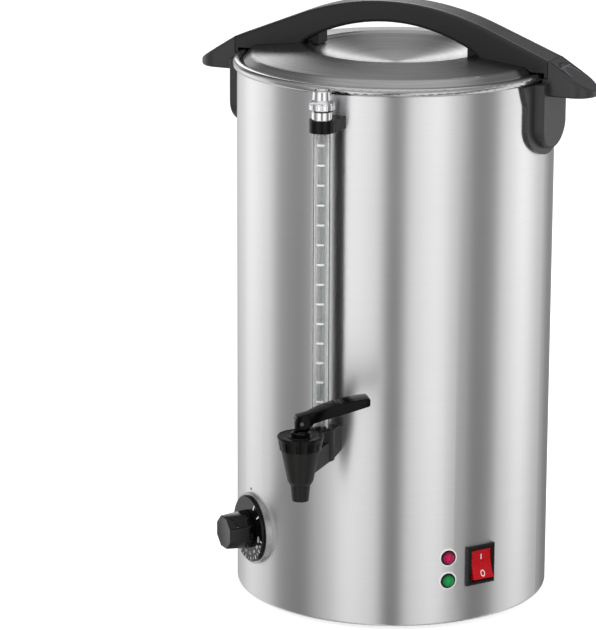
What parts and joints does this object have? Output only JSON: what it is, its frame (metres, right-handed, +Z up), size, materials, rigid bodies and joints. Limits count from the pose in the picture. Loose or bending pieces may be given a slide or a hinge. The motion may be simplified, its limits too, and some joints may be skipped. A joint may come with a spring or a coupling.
{
  "type": "hot water urn",
  "caption": "Double-walled steel hot water urn with lift-off lid, arched handle, press-lever tap, sight gauge, thermostat knob, pilot lamps and rocker switch.",
  "frame": {"origin": "the urn's axis at table height, under the centre of the body", "axes": "+Z up; -Y is the front, where the tap and the gauge are; the lid handle and the grips lie along X"},
  "size_m": [0.35, 0.3431, 0.5005],
  "materials": {
    "shell_steel": "brushed round the body, clear of any print",
    "tank_steel": "satin inside, bright on the rolled rim",
    "lid_steel": "satin dish, bright shoulder",
    "plated_steel": "zinc plated",
    "fixing_steel": "plain bright",
    "bright_ring": "polished",
    "chrome_fitting": "polished chrome plate",
    "spring_steel": "drawn wire",
    "heater_alloy": "cast and machined",
    "handle_black": "fine satin texture",
    "tap_black": "satin moulded",
    "gloss_black": "gloss moulded",
    "switch_black": "semi-gloss moulded",
    "red_plastic": "clear red, gloss",
    "red_lens": "clear crimson lens",
    "green_lens": "clear green lens",
    "clear_plastic": "clear tube with white graduations",
    "gauge_glass": "clear glass",
    "silicone": "translucent white silicone",
    "foot_rubber": "matt",
    "ceramic_white": "glazed ceramic",
    "copper": "drawn copper",
    "grey_housing": "moulded"
  },
  "bodies": {
    "root": {"outer_shell": "shell_steel", "inner_tank": "tank_steel", "base_plate": "plated_steel", "base_feet": "foot_rubber", "foot_screws": "fixing_steel", "foot_nuts": "fixing_steel", "tie_rod": "fixing_steel", "tie_nuts": "fixing_steel", "left_grip": "handle_black", "right_grip": "handle_black", "grip_screws": "fixing_steel", "heating_plate": "heater_alloy", "heating_element": "fixing_steel", "heater_clamp": "plated_steel", "thermal_cutout": "grey_housing", "terminal_block": "ceramic_white", "cord_gland": "tap_black", "thermostat_body": "plated_steel", "capillary": "copper", "thermostat_screws": "fixing_steel", "dial_ring": "bright_ring", "switch_housing": "switch_black", "rocker_pin": "fixing_steel", "lamp_housings": "grey_housing", "red_lamp_lens": "red_lens", "green_lamp_lens": "green_lens", "tap_body": "tap_black", "tap_spacer": "silicone", "tap_gasket": "silicone", "tap_nut": "tap_black", "tap_bonnet": "tap_black", "gauge_shield": "clear_plastic", "sight_glass": "gauge_glass", "gauge_seal": "silicone", "gauge_cap": "chrome_fitting", "gauge_nut": "chrome_fitting", "gauge_collar": "chrome_fitting", "gauge_bracket": "tap_black", "bracket_screw": "fixing_steel"},
    "knob": {"control_knob": "gloss_black", "dial_skirt": "gloss_black", "thermostat_shaft": "fixing_steel"},
    "rocker": {"switch_rocker": "red_plastic"},
    "lid": {"lid_shell": "lid_steel", "lid_handle": "handle_black", "lid_screws": "fixing_steel"},
    "collar": {"lever_collar": "gloss_black"},
    "stem": {"tap_stem": "fixing_steel", "seat_cup": "silicone", "lever_pin": "fixing_steel", "tap_spring": "spring_steel"},
    "lever": {"tap_lever": "gloss_black"}
  },
  "joints": [
    {"name": "lid_lift", "type": "slide", "parent": "root", "child": "lid", "axis": [0, 0, 1], "range_m": [0, 0.12]},
    {"name": "knob_turn", "type": "hinge", "parent": "root", "child": "knob", "pos_m": [-0.0828, -0.10152, 0.065], "axis": [-0.632, -0.7749, 0], "range_deg": [-270, 0]},
    {"name": "rocker_tilt", "type": "hinge", "parent": "root", "child": "rocker", "pos_m": [0.10782, -0.07191, 0.0517], "axis": [0.5548, 0.832, 0], "range_deg": [0, 22]},
    {"name": "lever_swivel", "type": "hinge", "parent": "root", "child": "collar", "pos_m": [0, -0.19, 0.182], "axis": [0, 0, 1], "range_deg": [-262, 24]},
    {"name": "stem_lift", "type": "slide", "parent": "collar", "child": "stem", "axis": [0, 0, 1], "range_m": [0, 0.0024], "deforming": ["tap_spring"]},
    {"name": "lever_tilt", "type": "hinge", "parent": "stem", "child": "lever", "pos_m": [0, -0.19, 0.191], "axis": [-0.5736, 0.8192, 0], "range_deg": [0, 30], "stiffness_Nm_per_rad": 0.03, "springref_deg": -22.92}
  ],
  "couplings": [
    {"joint": "stem_lift", "follows": "lever_tilt", "m_per_rad": 0.0044}
  ]
}
